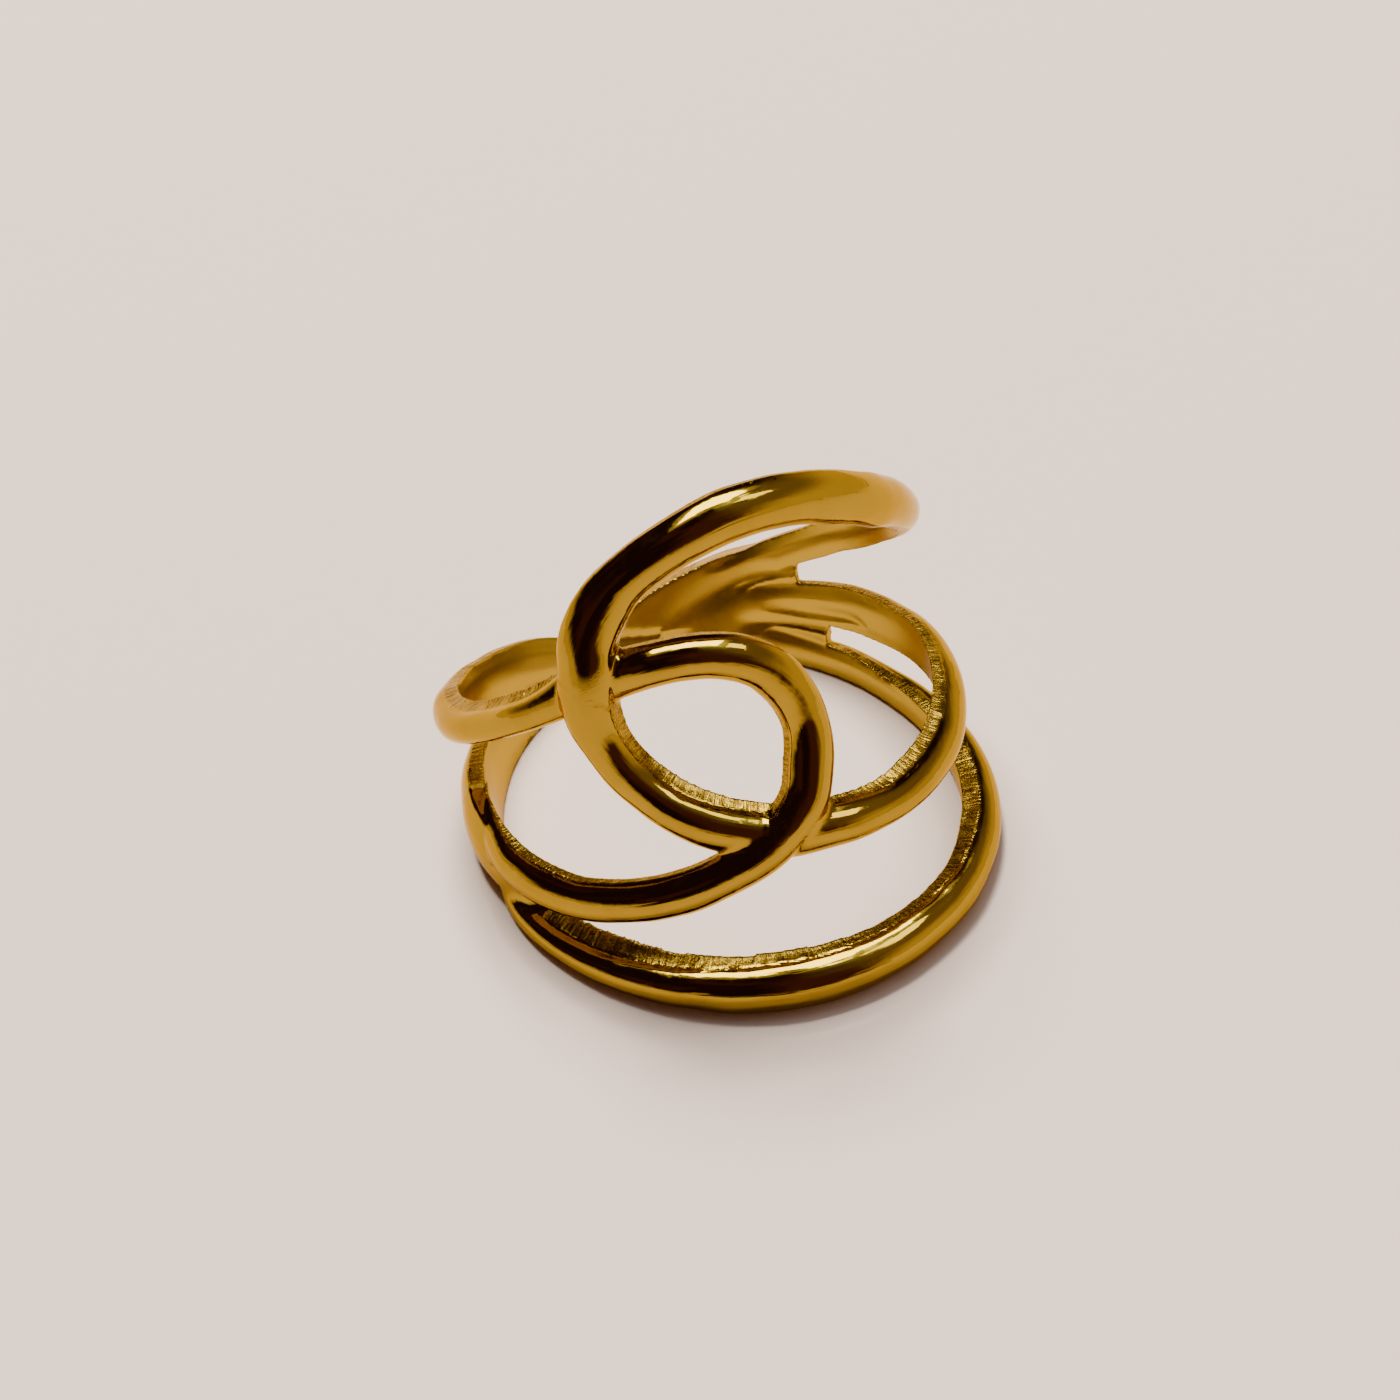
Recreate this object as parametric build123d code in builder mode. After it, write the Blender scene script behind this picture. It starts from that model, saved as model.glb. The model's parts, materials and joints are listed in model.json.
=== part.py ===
"""Openwork statement ring, cast in one piece: three interlaced strands round a finger hole."""
import os
from math import cos, hypot, radians, sin, tan
from typing import NamedTuple

from build123d import *
from build123d.topology import SkipClean

# Sizes of the finger hole and the metal round it
BORE_DIAMETER = 17.5
WALL = 1.2
SIDE = 0.6
SHANK_CROWN = 0.15
STRAND_WIDTH = 1.8
CORE = 0.5

# How far the ring reaches along the finger, at its deepest and shallowest sides
FRONT_DEPTH = 19.5
BACK_DEPTH = 3.7

# How the ring lies: the lean of the finger axis, the way it leans, and the turn of its front
REST_LEAN = 26.6
LEAN_HEADING = 114.5
LOW_SIDE = 18.8

# Trimming: how far the seated bands are cut into to make the flat rim, and room round the bore cut
RIM_TRIM = 0.06
SHANK_TRIM = 0.3
CUT_ROOM = 2.0

# Sectors that the bore is cut in, so that each strand's face on the finger has its own edges
SECTORS = 20

BORE_RADIUS = BORE_DIAMETER / 2
RIM_RADIUS = BORE_RADIUS + SIDE / 2


class Section(NamedTuple):
    """One cross-section of a strand: degrees round the finger, then shares of the ring's depth
    (from the rim that it lies on), of the strand width and of the wall (the crown's lift)."""

    angle: float
    height: float
    width: float
    lift: float = 0.0


class Seat(NamedTuple):
    """One cross-section of a band that rests on the rim: degrees, and shares as above. The flare
    is the share of the strand width by which each side has run out at the foot."""

    angle: float
    width: float
    lift: float = 0.0
    flare: float = 0.0


# From the shank over the right side and the crown, down the left, under the loop and back
CROWN_STRAND = [
    Section(160, 0.725, 0.72, -0.1),
    Section(148, 0.765, 0.75),
    Section(136, 0.777, 0.76),
    Section(120, 0.785, 0.80),
    Section(105, 0.805, 0.88),
    Section(90, 0.834, 0.97),
    Section(74, 0.863, 1.05, -0.1),
    Section(58, 0.891, 1.09, -0.05),
    Section(43, 0.923, 1.07, -0.05),
    Section(28, 0.948, 1.06, -0.05),
    Section(14, 0.953, 1.04),
    Section(3, 0.940, 0.99),
    Section(-6, 0.919, 0.98),
    Section(-12.5, 0.896, 1.05, 0.1),
    Section(-17.6, 0.860, 1.12, 0.15),
    Section(-21, 0.817, 1.13, 0.1),
    Section(-22.5, 0.765, 1.10, 0.1),
    Section(-24, 0.708, 1.08, 0.15),
    Section(-24.5, 0.652, 1.02, 0.1),
    Section(-23.5, 0.602, 0.95),
    Section(-20.8, 0.542, 0.98),
    Section(-16.5, 0.487, 1.03),
    Section(-11.5, 0.440, 1.07),
    Section(-6, 0.405, 1.11, -0.05),
    Section(0, 0.379, 1.14, -0.1),
    Section(8, 0.354, 1.12, -0.1),
    Section(17, 0.337, 1.06, -0.1),
    Section(27, 0.325, 1.00, -0.05),
    Section(38, 0.318, 0.94),
    Section(50, 0.319, 0.97),
    Section(62, 0.323, 1.03),
    Section(76, 0.340, 1.06),
    Section(90, 0.365, 1.05),
    Section(104, 0.383, 1.08),
    Section(118, 0.392, 1.10),
    Section(132, 0.413, 1.03),
    Section(144, 0.426, 0.97),
    Section(156, 0.432, 0.88, -0.1),
]

# From the shank round the left side, under the crown strand, round the eye and over it
LOOP_STRAND = [
    Section(190, 0.160, 0.62, -0.25),
    Section(201, 0.230, 0.80, -0.1),
    Section(212, 0.398, 0.90),
    Section(221, 0.528, 0.93, 0.05),
    Section(231, 0.603, 0.92, 0.05),
    Section(243, 0.638, 0.89),
    Section(257, 0.647, 0.92, 0.05),
    Section(272, 0.648, 0.95, 0.1),
    Section(284, 0.653, 0.93, 0.1),
    Section(296, 0.665, 0.85),
    Section(306, 0.679, 0.82),
    Section(316, 0.695, 0.83),
    Section(325, 0.710, 0.88, -0.1),
    Section(333, 0.721, 0.93, -0.2),
    Section(341, 0.730, 0.94, -0.15),
    Section(350, 0.733, 0.90),
    Section(359, 0.727, 0.90),
    Section(366, 0.711, 0.90),
    Section(371, 0.692, 0.93),
    Section(375, 0.666, 0.97),
    Section(378.5, 0.628, 0.98),
    Section(380.8, 0.581, 0.94),
    Section(381.6, 0.537, 0.93),
    Section(381.2, 0.497, 0.96, 0.05),
    Section(379.5, 0.450, 0.98, 0.1),
    Section(376.5, 0.401, 0.96, 0.15),
    Section(372, 0.363, 0.94, 0.15),
    Section(367, 0.335, 0.92, 0.1),
    Section(360, 0.306, 0.90, 0.05),
    Section(350, 0.275, 0.89),
    Section(338, 0.245, 0.89),
    Section(325, 0.220, 0.87),
    Section(312, 0.202, 0.90),
    Section(302, 0.196, 0.94),
    Section(292, 0.196, 0.93, -0.05),
    Section(283, 0.206, 0.90, -0.2),
    Section(275, 0.216, 0.86, -0.3),
]

# The band that the ring lies on, from the left shank round the front to the back
BASE_BAND = [
    Seat(-84, 0.52, -0.5),
    Seat(-76, 0.50, -0.25),
    Seat(-68, 0.49, -0.1, 0.35),
    Seat(-60, 0.54, 0, 0.58),
    Seat(-50, 0.62, 0, 0.62),
    Seat(-38, 0.75, 0, 0.60),
    Seat(-24, 0.89, 0, 0.40),
    Seat(-8, 1.01, 0, 0.31),
    Seat(8, 1.05, 0, 0.29),
    Seat(26, 1.00, 0, 0.18),
    Seat(42, 0.95, 0.05, 0.09),
    Seat(58, 0.88, 0.17),
    Seat(74, 0.84, 0.25),
    Seat(90, 0.78, 0.25),
    Seat(106, 0.71, 0.2),
    Seat(122, 0.67, 0.1),
    Seat(138, 0.72),
    Seat(154, 0.76, -0.1),
]

# Where the loop strand and the base band have run together, from the left side to the shank
LEFT_BAND = [
    Seat(-62, 1.02, -0.65),
    Seat(-67, 1.28, -0.4),
    Seat(-72, 1.48, -0.15),
    Seat(-79, 1.60, 0.05),
    Seat(-88, 1.62, 0.15),
    Seat(-98, 1.55, 0.17),
    Seat(-112, 1.35, 0.15),
    Seat(-128, 1.05, 0.1),
    Seat(-145, 0.75, 0.05),
    Seat(-160, 0.62),
    Seat(-176, 0.60, -0.1),
]

# The shank, where every strand of the right side has run together
SHANK = [
    Seat(147.5, 3.20, -0.35),
    Seat(152, 3.06, 0.05),
    Seat(160, 2.78, 0.1),
    Seat(171, 2.36, 0.1),
    Seat(182, 1.92, 0.1),
    Seat(193, 1.52, 0.1),
]

# The web between the base band and the right band, where they reach the shank
SHANK_WEB = [
    Seat(141.5, 1.80, -0.3),
    Seat(147, 1.72, -0.05),
    Seat(154, 1.60),
]


def rim_height(angle):
    """Height of the resting rim up the finger axis, at one angle round it."""
    return -RIM_RADIUS * tan(radians(REST_LEAN)) * cos(radians(angle - LOW_SIDE))


def depth(angle):
    """Reach of the ring along the finger above that rim, at one angle round it."""
    middle = (FRONT_DEPTH + BACK_DEPTH) / 2
    swing = (FRONT_DEPTH - BACK_DEPTH) / 2
    return middle + swing * cos(radians(angle - LOW_SIDE))


def strand_line(rows):
    """Centre of each section as (angle, height, width, lift, flare), in degrees and millimetres."""
    return [
        (
            row.angle,
            rim_height(row.angle) + row.height * depth(row.angle),
            row.width * STRAND_WIDTH,
            row.lift * WALL,
            0,
        )
        for row in rows
    ]


def seated_line(rows, trim):
    """The same for a band whose lower edge follows the rim, a little below it."""
    return [
        (
            row.angle,
            rim_height(row.angle) + row.width * STRAND_WIDTH / 2 - trim,
            row.width * STRAND_WIDTH,
            row.lift * WALL,
            row.flare * STRAND_WIDTH,
        )
        for row in rows
    ]


def headings(line):
    """Direction of the line at each section, as its (round, up) parts on the bore's wall."""
    spots = [(radians(row[0]) * BORE_RADIUS, row[1]) for row in line]
    steps = [(x1 - x0, y1 - y0) for (x0, y0), (x1, y1) in zip(spots, spots[1:])]
    slopes = [(dx / hypot(dx, dy), dy / hypot(dx, dy), hypot(dx, dy)) for dx, dy in steps]
    before = [slopes[0]] + slopes
    after = slopes + [slopes[-1]]
    found = []
    for (ax, ay, back), (bx, by, ahead) in zip(before, after):
        x = ax * ahead + bx * back
        y = ay * ahead + by * back
        found.append((x / hypot(x, y), y / hypot(x, y)))
    return found


def section_plane(angle, height, heading):
    """Plane across a strand: its x runs across the strand and its y away from the finger."""
    turn = radians(angle)
    outward = Vector(cos(turn), sin(turn), 0)
    around = Vector(-sin(turn), cos(turn), 0)
    along = around * heading[0] + Vector(0, 0, 1) * heading[1]
    return Plane(outward * BORE_RADIUS + Vector(0, 0, height), outward.cross(along), along)


def crowned_section(plane, width, lift, flare, side):
    """Flat or flared sides under a round crown, with stock below them for the bore cut."""
    half = width / 2
    foot_half = half + flare
    with BuildSketch(plane) as section:
        with BuildLine():
            foot = Line((-foot_half, -CORE), (foot_half, -CORE))
            flank = Line(foot @ 1, (half, side + lift))
            crown = ThreePointArc(flank @ 1, (0, WALL + lift), (-half, side + lift))
            Line(crown @ 1, foot @ 0)
        make_face()
    return section.sketch


def strand(line, side=SIDE):
    """Loft one strand through its sections, into the part that is being built."""
    loft(
        sections=[
            crowned_section(section_plane(angle, height, heading), width, lift, flare, side)
            for (angle, height, width, lift, flare), heading in zip(line, headings(line))
        ]
    )


with BuildPart() as cast:
    strand(seated_line(SHANK, SHANK_TRIM), side=WALL - SHANK_CROWN)
    strand(seated_line(SHANK_WEB, SHANK_TRIM), side=WALL - SHANK_CROWN)
    strand(seated_line(BASE_BAND, RIM_TRIM))
    strand(seated_line(LEFT_BAND, SHANK_TRIM / 2))
    strand(strand_line(CROWN_STRAND))
    strand(strand_line(LOOP_STRAND))

heading = radians(LEAN_HEADING)
lean = radians(REST_LEAN)
finger_axis = Vector(sin(lean) * cos(heading), sin(lean) * sin(heading), cos(lean))
uphill = Vector(-cos(lean) * cos(heading), -cos(lean) * sin(heading), sin(lean))
front = uphill * cos(radians(LOW_SIDE)) - finger_axis.cross(uphill) * sin(radians(LOW_SIDE))

with BuildPart() as lying:
    with Locations(Plane((0, 0, 0), front, finger_axis)) as finger:
        add(cast.part)
    split(bisect_by=Plane.XY, keep=Keep.TOP)
    sector = Cylinder(
        BORE_RADIUS,
        2 * FRONT_DEPTH + CUT_ROOM,
        arc_size=360 / SECTORS,
        align=(Align.NONE, Align.NONE, Align.CENTER),
        mode=Mode.PRIVATE,
    )
    with SkipClean(), finger, PolarLocations(0, SECTORS):
        add(sector, mode=Mode.SUBTRACT)

middle = lying.part.bounding_box().center()

with BuildPart() as knot_ring:
    with Locations((-middle.X, -middle.Y, 0)):
        add(lying.part, clean=False)

os.makedirs("parts", exist_ok=True)
knot_ring.part.label = "knot_ring"
export_step(knot_ring.part, "parts/knot_ring.step")
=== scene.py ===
"""Openwork statement ring in polished gold, lying on a pale floor under a soft light."""
import json

import bpy
import numpy as np
from mathutils import Matrix, Vector


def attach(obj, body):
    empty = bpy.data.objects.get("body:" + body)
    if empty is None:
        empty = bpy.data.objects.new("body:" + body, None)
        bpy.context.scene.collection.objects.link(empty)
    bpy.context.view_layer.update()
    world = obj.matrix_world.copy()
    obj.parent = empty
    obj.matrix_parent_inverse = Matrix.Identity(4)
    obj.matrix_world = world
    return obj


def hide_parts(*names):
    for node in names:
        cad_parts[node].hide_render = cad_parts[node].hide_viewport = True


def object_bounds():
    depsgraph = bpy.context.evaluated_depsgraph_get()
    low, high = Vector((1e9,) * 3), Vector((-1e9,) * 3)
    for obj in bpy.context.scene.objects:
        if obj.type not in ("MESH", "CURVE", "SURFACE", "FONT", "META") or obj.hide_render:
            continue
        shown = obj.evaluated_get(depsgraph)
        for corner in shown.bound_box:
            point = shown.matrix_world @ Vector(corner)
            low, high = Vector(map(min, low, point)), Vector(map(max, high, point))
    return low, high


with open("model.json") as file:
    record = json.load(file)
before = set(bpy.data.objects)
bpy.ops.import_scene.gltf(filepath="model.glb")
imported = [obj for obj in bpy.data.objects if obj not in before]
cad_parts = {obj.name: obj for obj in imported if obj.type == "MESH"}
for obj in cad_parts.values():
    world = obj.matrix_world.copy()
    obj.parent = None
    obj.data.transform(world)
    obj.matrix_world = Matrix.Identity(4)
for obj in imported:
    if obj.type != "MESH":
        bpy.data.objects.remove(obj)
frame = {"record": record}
cad_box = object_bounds()

bl_info = {
    "name": "Openwork knot ring",
    "version": (1, 0, 0),
    "blender": (4, 5, 0),
    "location": "3D View > Sidebar > Ring",
    "description": "Casts the openwork ring, finishes it in gold and sets its studio",
    "category": "Add Mesh",
}

HOLE = next(m for m in frame["record"]["mounts"] if m["name"] == "finger_hole")
BORE = HOLE["dims"]["r_mm"]

# Lengths that the rows below give shares of, in millimetres: a strand's width, and the ring's
# depth along the finger on the low side of the rim and across from it
STRAND_WIDTH = 1.8
FRONT_DEPTH = 19.5
BACK_DEPTH = 3.7

# The rim's low side, in degrees round the finger from the middle of the knot
LOW_SIDE = 18.8

# In millimetres: how far the bands and the shank reach below the rim, how far the shank's crown
# stands over its shoulders, and the height of side at which a foot flares by half
RIM_TRIM = 0.06
SHANK_TRIM = 0.3
SHANK_CROWN = 0.15
STOCK = 0.5

# The least rise of a crown over its shoulders in millimetres, and how far a leaning side lifts
# its shoulder, as a share of the lean
LEAST_RISE = 0.02
SHOULDER_LIFT = 0.1

# How finely a strand is drawn: millimetres between sections, then points over the foot, up a side
# and over the crown
STEP = 0.12
FOOT_POINTS = 8
SIDE_POINTS = 6
CROWN_POINTS = 19

# The grid that the strands are cast together on, in millimetres, and the finished skin's triangles
GRAIN = 0.07
MOST_TRIANGLES = 190000

# Rounds of work on the skin: settling it, running metal in, settling where it ran and settling all
FIRST_SETTLE = 3
RUN_ROUNDS = 55
RUN_SETTLE = 60
LAST_SETTLE = 16

# Steps of one round of settling towards the neighbours' mean; the second goes back a little more
SETTLE_STEPS = (0.5, -0.53)

# Running metal in: fillings in a round, the share of a sag that each fills, and the distance in
# millimetres after which a point counts as run in
FILLINGS = 5
FILLED_SHARE = 0.8
FULL_RUN = 0.06

# The face on the finger, in millimetres: how deep its edges are rounded, how uneven it is, and how
# far out from the finger either is felt
EDGE_ROUNDING = 0.11
UNEVENNESS = 0.014
INSIDE_REACH = 0.3

# The share of a strand's half-width that the rounding of an edge takes
EDGE_SHARE = 0.45

# Random waves, in millimetres from crest to crest: along a strand's edges and shoulders, over its
# crown and over the face on the finger
EDGE_WAVE = 3.1
SHOULDER_WAVE = 3.7
CROWN_WAVE = 2.4
INSIDE_WAVE = 2.6

# Seeds of the waves over the crown and over the face on the finger
CROWN_SEED = 71
INSIDE_SEED = 37

# The camera's place and the point it looks at in metres, its lens in millimetres, its roll in
# degrees
CAMERA_PLACE = (-0.000541, -0.086131, 0.08309)
CAMERA_AIM = (-0.000541, 0.006219, 0)
CAMERA_LENS = 78.254
CAMERA_ROLL = -4.106

# Rows are degrees round the finger, then shares of the ring's depth, of the strand width, of
# the wall (the crown's lift) and of the strand width again (how far one shoulder leans in from
# its foot): from the shank over the right side and the crown, down the left, under the loop
# and back
CROWN_STRAND = np.array(
    [
        (160, 0.725, 0.72, -0.1, 0),
        (148, 0.765, 0.75, 0, 0),
        (136, 0.777, 0.76, 0, 0),
        (120, 0.785, 0.80, 0, 0),
        (105, 0.805, 0.88, 0, 0),
        (90, 0.834, 0.97, 0, 0),
        (74, 0.863, 1.05, -0.1, 0),
        (58, 0.891, 1.09, -0.05, 0),
        (43, 0.923, 1.07, -0.05, 0),
        (28, 0.948, 1.06, -0.05, 0),
        (14, 0.953, 1.04, 0, 0),
        (3, 0.940, 0.99, 0, 0),
        (-6, 0.919, 0.98, 0, 0),
        (-12.5, 0.896, 1.05, 0.05, 0),
        (-17.6, 0.860, 1.12, 0.21, 0),
        (-21, 0.817, 1.13, 0.37, 0),
        (-22.5, 0.765, 1.10, 0.47, 0),
        (-24, 0.708, 1.08, 0.46, 0),
        (-24.5, 0.652, 1.02, 0.34, 0.01),
        (-23.5, 0.602, 0.95, 0.18, 0.04),
        (-20.8, 0.542, 0.98, 0.07, 0.1),
        (-16.5, 0.487, 1.03, 0, 0.17),
        (-11.5, 0.440, 1.07, 0, 0.19),
        (-6, 0.405, 1.11, -0.05, 0.2),
        (0, 0.379, 1.14, -0.1, 0.19),
        (8, 0.354, 1.12, -0.1, 0.18),
        (17, 0.337, 1.06, -0.1, 0.1),
        (27, 0.325, 1.00, -0.05, 0.11),
        (38, 0.318, 0.94, 0, 0.18),
        (50, 0.319, 0.97, 0, 0.2),
        (62, 0.323, 1.03, 0, 0.17),
        (76, 0.340, 1.06, 0, 0.13),
        (90, 0.365, 1.05, 0, 0.09),
        (104, 0.383, 1.08, 0, 0.04),
        (118, 0.392, 1.10, 0, 0.01),
        (132, 0.413, 1.03, 0, 0),
        (144, 0.426, 0.97, 0, 0),
        (156, 0.432, 0.88, -0.1, 0),
    ]
)

# From the shank round the left side, under the crown strand, round the eye and over it
LOOP_STRAND = np.array(
    [
        (190, 0.160, 0.62, -0.25, 0),
        (201, 0.230, 0.80, -0.1, 0),
        (212, 0.398, 0.90, 0, 0),
        (221, 0.518, 0.99, 0.05, 0),
        (231, 0.580, 1.06, 0.05, 0),
        (243, 0.617, 1.04, 0, 0),
        (257, 0.640, 0.96, 0.05, 0),
        (272, 0.648, 0.95, 0.1, 0),
        (284, 0.653, 0.93, 0.1, 0.12),
        (296, 0.665, 0.85, 0.05, 0.15),
        (306, 0.679, 0.82, 0, 0.17),
        (316, 0.695, 0.83, 0, 0.18),
        (325, 0.710, 0.88, -0.1, 0.13),
        (333, 0.721, 0.93, -0.2, 0),
        (341, 0.730, 0.94, -0.15, 0),
        (350, 0.733, 0.90, 0, 0),
        (359, 0.727, 0.90, 0, 0),
        (366, 0.711, 0.90, 0, 0),
        (371, 0.692, 0.93, 0, 0),
        (375, 0.666, 0.97, 0, 0),
        (378.5, 0.628, 0.98, 0, 0),
        (380.8, 0.581, 0.94, 0, 0),
        (381.6, 0.537, 0.93, 0, 0),
        (381.2, 0.497, 0.96, 0.05, 0),
        (379.5, 0.450, 0.98, 0.1, 0),
        (376.5, 0.401, 0.96, 0.15, 0),
        (372, 0.363, 0.94, 0.15, 0),
        (367, 0.335, 0.92, 0.1, 0),
        (360, 0.306, 0.90, 0.05, 0),
        (350, 0.275, 0.89, 0, 0),
        (338, 0.245, 0.89, 0, 0),
        (325, 0.220, 0.87, 0, 0),
        (312, 0.202, 0.90, 0, 0),
        (302, 0.196, 0.94, 0, 0),
        (292, 0.196, 0.93, -0.05, 0),
        (283, 0.206, 0.90, -0.2, 0),
        (275, 0.216, 0.86, -0.3, 0),
    ]
)

# Bands that follow the rim: degrees, width, lift and the flare of the foot, in the same shares.
# First the band that the ring lies on, from the left side round the front to the back
BASE_BAND = np.array(
    [
        (-84, 0.52, -0.5, 0),
        (-76, 0.50, -0.25, 0),
        (-68, 0.49, -0.1, 0.35),
        (-60, 0.54, 0, 0.58),
        (-50, 0.62, 0, 0.62),
        (-38, 0.75, 0, 0.60),
        (-24, 0.89, 0, 0.40),
        (-8, 1.01, 0, 0.31),
        (8, 1.05, 0, 0.29),
        (26, 1.00, 0, 0.18),
        (42, 0.95, 0.05, 0.09),
        (58, 0.88, 0.17, 0),
        (74, 0.84, 0.25, 0),
        (90, 0.78, 0.25, 0),
        (106, 0.71, 0.2, 0),
        (122, 0.67, 0.1, 0),
        (138, 0.72, 0, 0),
        (154, 0.76, -0.1, 0),
    ]
)

# Where the loop strand and the base band have run together, from the left side to the shank
LEFT_BAND = np.array(
    [
        (-62, 1.02, -0.65, 0),
        (-67, 1.28, -0.4, 0),
        (-72, 1.48, -0.15, 0),
        (-79, 1.60, 0.05, 0),
        (-88, 1.62, 0.15, 0),
        (-98, 1.55, 0.17, 0),
        (-112, 1.35, 0.15, 0),
        (-128, 1.05, 0.1, 0),
        (-145, 0.75, 0.05, 0),
        (-160, 0.62, 0, 0),
        (-176, 0.60, -0.1, 0),
    ]
)

# The shank, where every strand of the right side has run together
SHANK = np.array(
    [
        (147.5, 3.20, -0.6, 0),
        (152, 3.06, -0.25, 0),
        (160, 2.78, 0.05, 0),
        (171, 2.36, 0.1, 0),
        (182, 1.92, 0.1, 0),
        (190, 1.60, 0.1, 0),
        (198, 1.34, 0, 0),
        (206, 1.16, -0.15, 0),
        (213, 1.10, -0.4, 0),
        (218, 1.08, -0.7, 0),
    ]
)

# The web between the base band and the right band, where they reach the shank
SHANK_WEB = np.array(
    [
        (141.5, 1.80, -0.55, 0),
        (147, 1.72, -0.3, 0),
        (154, 1.60, -0.05, 0),
    ]
)

# Soft seams inside the shank, where strands have run together: degrees, share of the ring's
# depth, then the seam's depth and breadth in millimetres
HIGH_SEAM = np.array(
    [
        (147, 0.640, 0.08, 0.30),
        (151, 0.650, 0.12, 0.38),
        (156, 0.655, 0.12, 0.45),
        (161.3, 0.640, 0.10, 0.50),
        (170, 0.586, 0.09, 0.55),
        (176.4, 0.510, 0.07, 0.50),
        (181.8, 0.420, 0.04, 0.40),
        (187, 0.320, 0, 0.30),
    ]
)
LOW_SEAM = np.array(
    [
        (124, 0.337, 0.02, 0.15),
        (129.5, 0.368, 0.09, 0.28),
        (138.7, 0.370, 0.14, 0.36),
        (145.4, 0.375, 0.13, 0.38),
        (151.5, 0.390, 0.07, 0.36),
        (158, 0.402, 0, 0.30),
    ]
)


class RingSizes(bpy.types.PropertyGroup):
    """Sizes of the cast ring. The finger hole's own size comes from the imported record."""

    wall: bpy.props.FloatProperty(
        name="Wall", description="Thickness of a strand at its crown",
        default=0.0012, unit="LENGTH", precision=5,
    )
    side: bpy.props.FloatProperty(
        name="Side", description="Height of a strand's flat side, from the finger to its shoulder",
        default=0.0006, unit="LENGTH", precision=5,
    )
    fillet: bpy.props.FloatProperty(
        name="Fillet", description="Radius that the metal fills in between two strands' sides",
        default=0.00045, unit="LENGTH", precision=5,
    )
    flow: bpy.props.FloatProperty(
        name="Flow", description="Radius that one strand's crown flows into another's with",
        default=0.0014, unit="LENGTH", precision=5,
    )
    wobble: bpy.props.FloatProperty(
        name="Wobble", description="How far a filed shoulder wanders from its line",
        default=0.00002, unit="LENGTH", precision=6,
    )
    ripple: bpy.props.FloatProperty(
        name="Ripple", description="Height of the soft ripples that polishing leaves on the crown",
        default=0.000012, unit="LENGTH", precision=6,
    )


class RingFinish(bpy.types.PropertyGroup):
    """Colours and gloss of the gold."""

    gold: bpy.props.FloatVectorProperty(
        name="Gold", description="Colour of the polished crown",
        default=(0.34, 0.215, 0.016), subtype="COLOR", size=3, min=0, max=1,
    )
    deep_gold: bpy.props.FloatVectorProperty(
        name="Deep gold", description="Colour that the polished crown wanders to in patches",
        default=(0.30, 0.18, 0.011), subtype="COLOR", size=3, min=0, max=1,
    )
    filed_gold: bpy.props.FloatVectorProperty(
        name="Filed gold", description="Colour of the filed sides",
        default=(0.40, 0.26, 0.028), subtype="COLOR", size=3, min=0, max=1,
    )
    satin_gold: bpy.props.FloatVectorProperty(
        name="Satin gold", description="Colour of the face that lies on the finger",
        default=(0.42, 0.275, 0.026), subtype="COLOR", size=3, min=0, max=1,
    )
    # Darker colour laid into the bottoms of the file marks: painted shade in their hollows, not a
    # colour of the metal itself
    file_dirt: bpy.props.FloatVectorProperty(
        name="Painted mark shade", description="Colour in the bottom of the file marks",
        default=(0.13, 0.07, 0.008), subtype="COLOR", size=3, min=0, max=1,
    )
    polish: bpy.props.FloatProperty(
        name="Polish", description="Roughness of the polished crown",
        default=0.07, min=0, max=1, subtype="FACTOR",
    )
    filed: bpy.props.FloatProperty(
        name="Filed", description="Roughness of the filed sides",
        default=0.27, min=0, max=1, subtype="FACTOR",
    )
    satin: bpy.props.FloatProperty(
        name="Satin", description="Roughness of the face that lies on the finger",
        default=0.28, min=0, max=1, subtype="FACTOR",
    )


class RingStudio(bpy.types.PropertyGroup):
    """The floor and the light."""

    floor: bpy.props.FloatVectorProperty(
        name="Floor", description="Colour of the floor",
        default=(0.80, 0.655, 0.55), subtype="COLOR", size=3, min=0, max=1,
    )
    floor_radius: bpy.props.FloatProperty(
        name="Floor radius", description="Reach of the pale floor round the ring",
        default=0.6, unit="LENGTH",
    )
    softbox: bpy.props.FloatProperty(
        name="Softbox", description="Brightness of the soft light that the gold mirrors",
        default=0.7, min=0,
    )
    core: bpy.props.FloatProperty(
        name="Softbox core", description="Brightness of the softbox's middle, added to its own",
        default=15, min=0,
    )
    side_box: bpy.props.FloatProperty(
        name="Side box", description="Brightness of the smaller softbox high on the right",
        default=6, min=0,
    )
    window: bpy.props.FloatProperty(
        name="Window", description="Power of the soft light from behind on the left",
        default=24, min=0, unit="POWER",
    )
    room: bpy.props.FloatProperty(
        name="Room", description="Brightness of the room round the floor",
        default=1, min=0,
    )
    dark: bpy.props.FloatVectorProperty(
        name="Dark", description="Colour of the room behind the camera",
        default=(0.028, 0.008, 0.012), subtype="COLOR", size=3, min=0, max=1,
    )
    brown: bpy.props.FloatVectorProperty(
        name="Brown", description="Colour of the room in front on the right",
        default=(0.12, 0.036, 0.03), subtype="COLOR", size=3, min=0, max=1,
    )
    wall: bpy.props.FloatVectorProperty(
        name="Wall", description="Colour of the wall on the right",
        default=(1.25, 0.95, 0.62), subtype="COLOR", size=3, min=0, max=2,
    )
    upper_wall: bpy.props.FloatVectorProperty(
        name="Upper wall", description="Colour of the same wall higher up",
        default=(0.36, 0.27, 0.30), subtype="COLOR", size=3, min=0, max=1,
    )
    ceiling: bpy.props.FloatVectorProperty(
        name="Ceiling", description="Colour of the ceiling beside the softbox",
        default=(0.72, 0.90, 1.0), subtype="COLOR", size=3, min=0, max=1,
    )


def millimetres(length):
    """A length in metres as millimetres, in which the ring is drawn."""
    return length * 1000


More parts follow.
